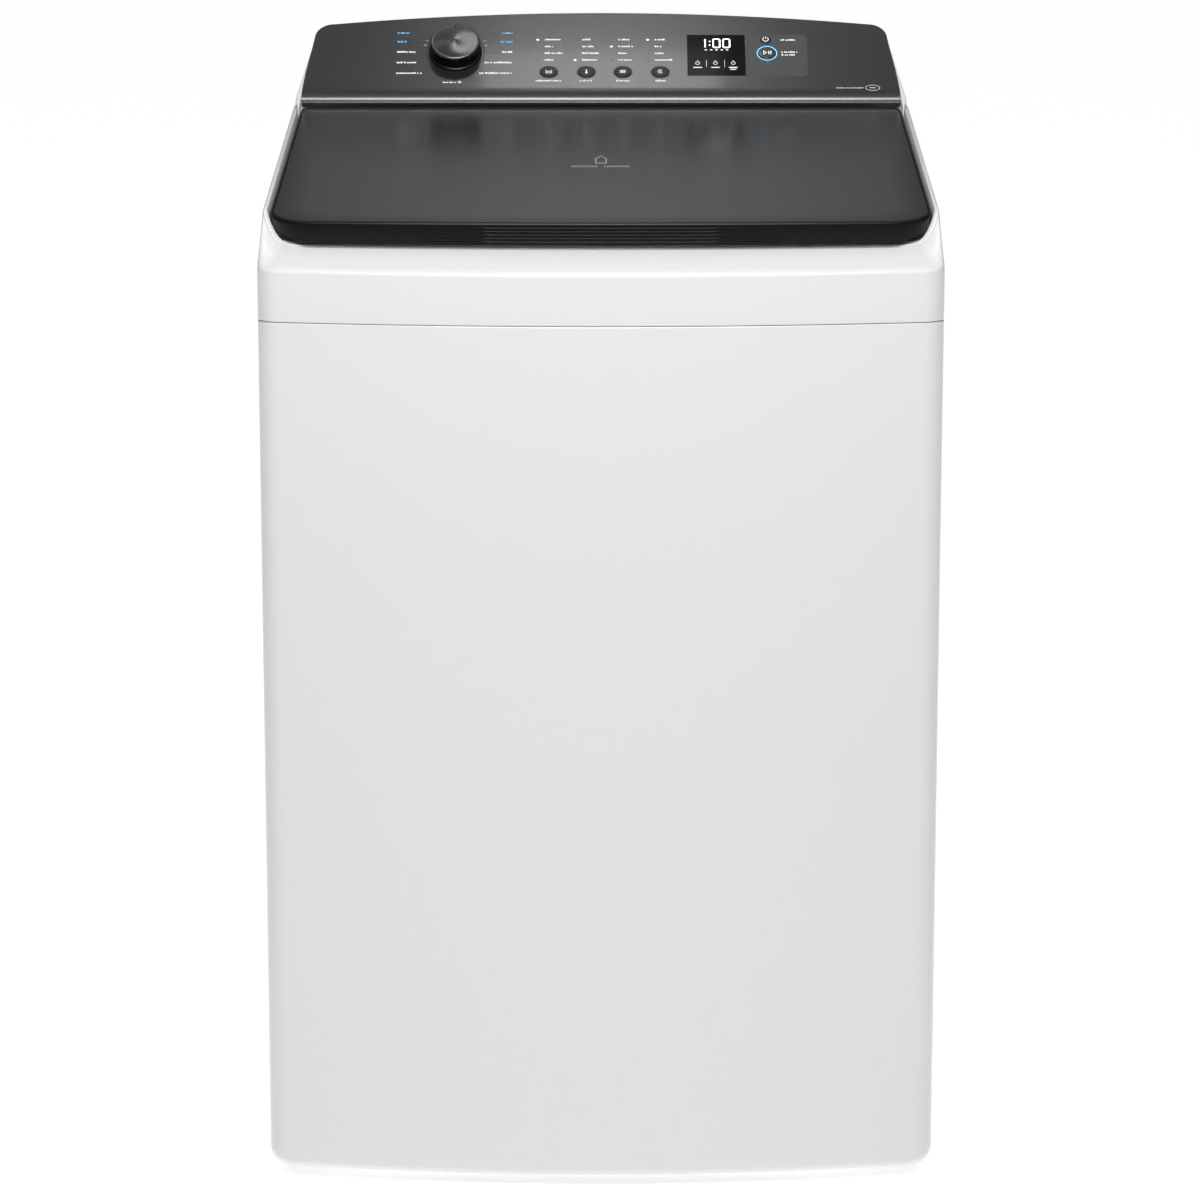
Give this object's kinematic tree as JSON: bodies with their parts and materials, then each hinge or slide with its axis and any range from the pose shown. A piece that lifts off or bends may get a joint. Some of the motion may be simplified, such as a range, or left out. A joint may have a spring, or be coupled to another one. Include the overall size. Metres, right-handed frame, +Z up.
{
  "type": "top load washing machine",
  "caption": "Free-standing top loading washing machine with a bowed cabinet, hinged glass lid, sloped console, sprung tub, spinning basket, agitator and belt drive.",
  "frame": {"origin": "on the floor, under the middle of the object's bounding box in width and depth", "axes": "+Z up, the front faces -Y, +X to the right when seen from the front"},
  "size_m": [0.6, 0.64, 1.003],
  "materials": {
    "black_plastic": "satin black",
    "board": "green board with its switches",
    "cast_aluminium": "as cast",
    "charcoal_plastic": "dark charcoal gloss",
    "grey_plastic": "moulded grey",
    "rubber": "matte black",
    "spun_metal": "spun dark metal",
    "stainless": "polished stainless",
    "tinted_glass": "dark tinted gloss",
    "white_plastic": "satin white moulding",
    "white_steel": "gloss white paint",
    "zinc_steel": "zinc plated"
  },
  "bodies": {
    "cabinet": {"cabinet_wrap": "white_steel", "rear_panel": "white_steel", "rear_service_cover": "white_steel", "base_frame": "grey_plastic", "top_cover": "white_plastic", "console_facia": "charcoal_plastic", "display_lens": "tinted_glass", "control_board": "board", "lid_lock": "black_plastic", "hinge_pin_left": "zinc_steel", "hinge_pin_right": "zinc_steel", "dispenser_housing": "white_plastic", "inlet_valve": "white_plastic", "drain_outlet": "grey_plastic", "cord_gland": "black_plastic", "drain_pump": "grey_plastic", "sump_bellows": "rubber", "suspension_rod_front_left": "zinc_steel", "suspension_rod_front_right": "zinc_steel", "suspension_rod_rear_left": "zinc_steel", "suspension_rod_rear_right": "zinc_steel", "suspension_spring_front_left": "zinc_steel", "suspension_spring_front_right": "zinc_steel", "suspension_spring_rear_left": "zinc_steel", "suspension_spring_rear_right": "zinc_steel"},
    "lid": {"lid_frame": "black_plastic", "lid_glass": "tinted_glass"},
    "knob": {"knob_cap": "spun_metal", "knob_skirt": "black_plastic", "encoder_shaft": "zinc_steel"},
    "option_button_1_body": {"option_button_1": "charcoal_plastic"},
    "option_button_2_body": {"option_button_2": "charcoal_plastic"},
    "option_button_3_body": {"option_button_3": "charcoal_plastic"},
    "option_button_4_body": {"option_button_4": "charcoal_plastic"},
    "power_button_body": {"power_button": "charcoal_plastic"},
    "start_button_body": {"start_button": "charcoal_plastic"},
    "drawer": {"dispenser_drawer": "grey_plastic"},
    "levelling_front_left": {"foot_front_left": "black_plastic"},
    "levelling_front_right": {"foot_front_right": "black_plastic"},
    "levelling_rear_left": {"foot_rear_left": "black_plastic"},
    "levelling_rear_right": {"foot_rear_right": "black_plastic"},
    "tub": {"outer_tub": "grey_plastic", "tub_cover": "grey_plastic", "gear_case": "cast_aluminium", "motor": "zinc_steel", "motor_bracket": "zinc_steel", "bearing_upper": "zinc_steel", "bearing_lower": "zinc_steel", "belt": "rubber"},
    "spin_basket": {"basket": "stainless", "basket_hub": "cast_aluminium", "balance_ring": "grey_plastic", "spin_tube": "zinc_steel", "lint_filter_left": "grey_plastic", "lint_filter_right": "grey_plastic"},
    "agitator": {"pulsator": "white_plastic", "pulsator_cap": "grey_plastic", "wash_shaft": "zinc_steel", "drive_pulley": "cast_aluminium"},
    "motor_rotor": {"motor_pulley": "zinc_steel"}
  },
  "joints": [
    {"name": "lid_hinge", "type": "hinge", "parent": "cabinet", "child": "lid", "pos_m": [0, 0.186, 0.9055], "axis": [-1, 0, 0], "range_deg": [0, 95]},
    {"name": "knob_turn", "type": "hinge", "parent": "cabinet", "child": "knob", "pos_m": [-0.1432, 0.2582, 0.968], "axis": [0, -0.632, 0.7749], "continuous": true},
    {"name": "option_button_1_press", "type": "slide", "parent": "cabinet", "child": "option_button_1_body", "axis": [0, 0.632, -0.7749], "range_m": [0, 0.001], "stiffness_N_per_m": 600, "springref_m": -0.001},
    {"name": "option_button_2_press", "type": "slide", "parent": "cabinet", "child": "option_button_2_body", "axis": [0, 0.632, -0.7749], "range_m": [0, 0.001], "stiffness_N_per_m": 600, "springref_m": -0.001},
    {"name": "option_button_3_press", "type": "slide", "parent": "cabinet", "child": "option_button_3_body", "axis": [0, 0.632, -0.7749], "range_m": [0, 0.001], "stiffness_N_per_m": 600, "springref_m": -0.001},
    {"name": "option_button_4_press", "type": "slide", "parent": "cabinet", "child": "option_button_4_body", "axis": [0, 0.632, -0.7749], "range_m": [0, 0.001], "stiffness_N_per_m": 600, "springref_m": -0.001},
    {"name": "power_button_press", "type": "slide", "parent": "cabinet", "child": "power_button_body", "axis": [0, 0.632, -0.7749], "range_m": [0, 0.001], "stiffness_N_per_m": 600, "springref_m": -0.001},
    {"name": "start_button_press", "type": "slide", "parent": "cabinet", "child": "start_button_body", "axis": [0, 0.632, -0.7749], "range_m": [0, 0.001], "stiffness_N_per_m": 600, "springref_m": -0.001},
    {"name": "drawer_slide", "type": "slide", "parent": "cabinet", "child": "drawer", "axis": [0, -1, 0], "range_m": [0, 0.1]},
    {"name": "foot_screw_front_left", "type": "slide", "parent": "cabinet", "child": "levelling_front_left", "axis": [0, 0, 1], "range_m": [0, 0.008]},
    {"name": "foot_screw_front_right", "type": "slide", "parent": "cabinet", "child": "levelling_front_right", "axis": [0, 0, 1], "range_m": [0, 0.008]},
    {"name": "foot_screw_rear_left", "type": "slide", "parent": "cabinet", "child": "levelling_rear_left", "axis": [0, 0, 1], "range_m": [0, 0.008]},
    {"name": "foot_screw_rear_right", "type": "slide", "parent": "cabinet", "child": "levelling_rear_right", "axis": [0, 0, 1], "range_m": [0, 0.008]},
    {"name": "tub_bounce", "type": "slide", "parent": "cabinet", "child": "tub", "axis": [0, 0, 1], "range_m": [-0.03, 0.004], "stiffness_N_per_m": 8000, "springref_m": 0.04218, "deforming": ["suspension_spring_front_left", "suspension_spring_front_right", "suspension_spring_rear_left", "suspension_spring_rear_right", "sump_bellows"]},
    {"name": "basket_spin", "type": "hinge", "parent": "tub", "child": "spin_basket", "pos_m": [0, -0.005, 0.335], "axis": [0, 0, 1], "continuous": true},
    {"name": "agitator_spin", "type": "hinge", "parent": "tub", "child": "agitator", "pos_m": [0, -0.005, 0.34], "axis": [0, 0, 1], "continuous": true},
    {"name": "motor_spin", "type": "hinge", "parent": "tub", "child": "motor_rotor", "pos_m": [0.15, -0.005, 0.118], "axis": [0, 0, 1], "continuous": true}
  ],
  "couplings": [
    {"joint": "motor_spin", "follows": "agitator_spin", "ratio": 2.9118}
  ]
}
